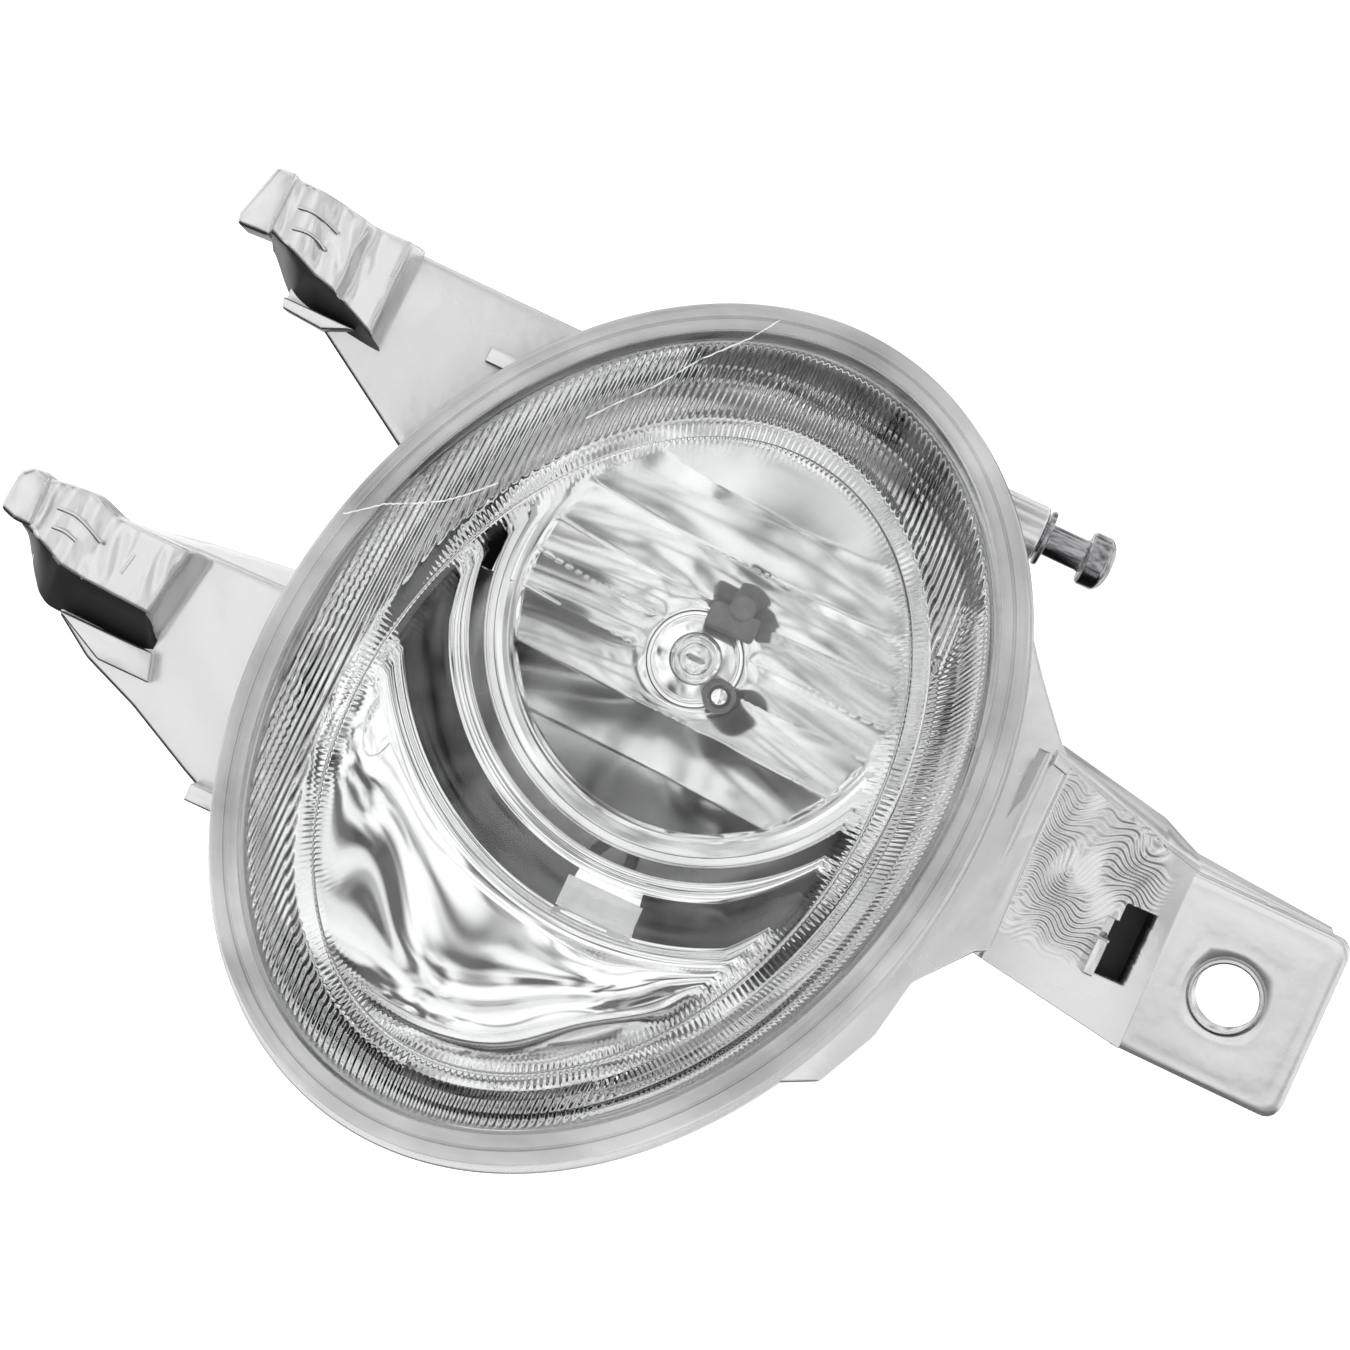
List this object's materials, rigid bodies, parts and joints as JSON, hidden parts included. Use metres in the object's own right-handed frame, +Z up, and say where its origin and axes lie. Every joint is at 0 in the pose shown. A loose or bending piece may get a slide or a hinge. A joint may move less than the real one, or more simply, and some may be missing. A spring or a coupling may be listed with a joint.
{
  "type": "front fog lamp",
  "caption": "Oval fog lamp with a fluted glass lens, round tilting reflector, bulb, twist-off rear cap, side aim screw, hooked arms and a screw tab.",
  "frame": {"origin": "centre of the screw tab's hole, on the tab's rear seat face", "axes": "+X from the lamp towards the screw tab, -Y along the beam, +Z up"},
  "size_m": [0.2288, 0.122, 0.1505],
  "materials": {
    "housing_plastic": "silver-grey, satin gloss",
    "bush_steel": "zinc plated",
    "lens_glass": "clear, fluted",
    "sealant": "matt",
    "chrome_trim": "bright vacuum-metallised",
    "mirror_coat": "bright vacuum-metallised",
    "pin_steel": "plain",
    "natural_plastic": "natural",
    "bulb_glass": "clear",
    "filament_metal": "dull",
    "bulb_metal": "stamped",
    "terminal_metal": "tinned",
    "spring_steel": "drawn wire",
    "black_plastic": "fine texture",
    "lead_cover": "smooth",
    "seal_rubber": "matt",
    "adjuster_steel": "dark plated"
  },
  "bodies": {
    "housing": {"housing": "housing_plastic", "tab_bush": "bush_steel", "lens": "lens_glass", "lens_adhesive": "sealant", "bezel": "chrome_trim", "pivot_pin_left": "pin_steel", "pivot_pin_right": "pin_steel", "connector_terminal_left": "terminal_metal", "connector_terminal_right": "terminal_metal", "feed_lead": "lead_cover", "earth_lead": "lead_cover", "vent_cap": "seal_rubber"},
    "reflector": {"reflector": "mirror_coat", "pivot_bush_left": "natural_plastic", "pivot_bush_right": "natural_plastic", "bulb_envelope": "bulb_glass", "bulb_filament": "filament_metal", "bulb_base": "bulb_metal", "bulb_insulator": "natural_plastic", "bulb_terminal": "terminal_metal", "spade_connector": "black_plastic", "earth_ring": "terminal_metal", "earth_screw": "pin_steel", "drive_pin": "pin_steel"},
    "adjuster_screw": {"adjuster_screw": "adjuster_steel", "adjuster_seal": "seal_rubber", "adjuster_circlip": "spring_steel"},
    "adjuster_nut": {"adjuster_nut": "natural_plastic"},
    "bulb_clip": {"bulb_clip": "spring_steel"},
    "rear_cap": {"rear_cap": "black_plastic", "rear_cap_seal": "seal_rubber"}
  },
  "joints": [
    {"name": "adjuster_turn", "type": "hinge", "parent": "housing", "child": "adjuster_screw", "pos_m": [-0.09876, 0.03586, 0.05643], "axis": [1, 0, 0], "range_deg": [-1080, 1080]},
    {"name": "nut_slide", "type": "slide", "parent": "housing", "child": "adjuster_nut", "axis": [1, 0, 0], "range_m": [-0.00601, 0.00601]},
    {"name": "reflector_tilt", "type": "hinge", "parent": "housing", "child": "reflector", "pos_m": [-0.09876, 0.03246, 0.01664], "axis": [1, 0, 0], "range_deg": [-3.01, 3.01], "deforming": ["feed_lead", "earth_lead"]},
    {"name": "bulb_clip_swing", "type": "hinge", "parent": "reflector", "child": "bulb_clip", "pos_m": [-0.09996, 0.05966, 0.02763], "axis": [1, 0, 0], "range_deg": [0, 50]},
    {"name": "rear_cap_twist", "type": "hinge", "parent": "housing", "child": "rear_cap", "pos_m": [-0.09996, -0.00154, 0.01264], "axis": [0, 1, 0], "range_deg": [0, 45]}
  ],
  "couplings": [
    {"joint": "nut_slide", "follows": "adjuster_turn", "m_per_rad": -0.00031831},
    {"joint": "reflector_tilt", "follows": "adjuster_turn", "ratio": 0.0027778}
  ]
}
